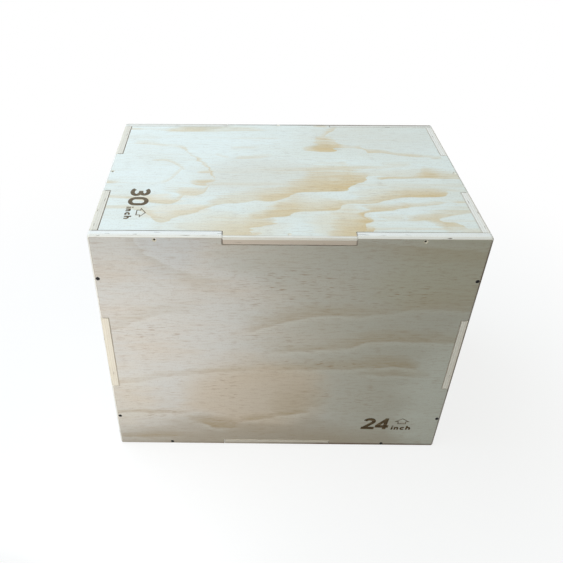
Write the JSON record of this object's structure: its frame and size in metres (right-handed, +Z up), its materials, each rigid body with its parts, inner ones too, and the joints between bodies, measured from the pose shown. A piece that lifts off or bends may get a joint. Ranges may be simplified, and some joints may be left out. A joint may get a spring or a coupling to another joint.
{
  "type": "plyo box",
  "caption": "Hollow plywood jump box with finger-jointed panels, countersunk screws, end hand-holes and an inner brace; turned onto another face, it changes its jump height.",
  "frame": {"origin": "centre of the footprint, on the floor, with the box standing at its 24 inch height", "axes": "+X along the 30 inch length, -Y out of the front face, +Z up"},
  "size_m": [0.762, 0.508, 0.6096],
  "materials": {
    "plywood": "sanded, unvarnished pine-faced plywood",
    "screw_steel": "black phosphate",
    "height_marking": "burnt-in size numbers"
  },
  "bodies": {
    "root": {"front_panel": "plywood", "back_panel": "plywood", "left_end_panel": "plywood", "right_end_panel": "plywood", "bottom_panel": "plywood", "top_panel": "plywood", "inner_brace": "plywood", "front_left_end_screws": "screw_steel", "front_right_end_screws": "screw_steel", "front_bottom_screws": "screw_steel", "front_top_screws": "screw_steel", "back_left_end_screws": "screw_steel", "back_right_end_screws": "screw_steel", "back_bottom_screws": "screw_steel", "back_top_screws": "screw_steel", "left_end_bottom_screws": "screw_steel", "left_end_top_screws": "screw_steel", "right_end_bottom_screws": "screw_steel", "right_end_top_screws": "screw_steel"}
  },
  "joints": []
}
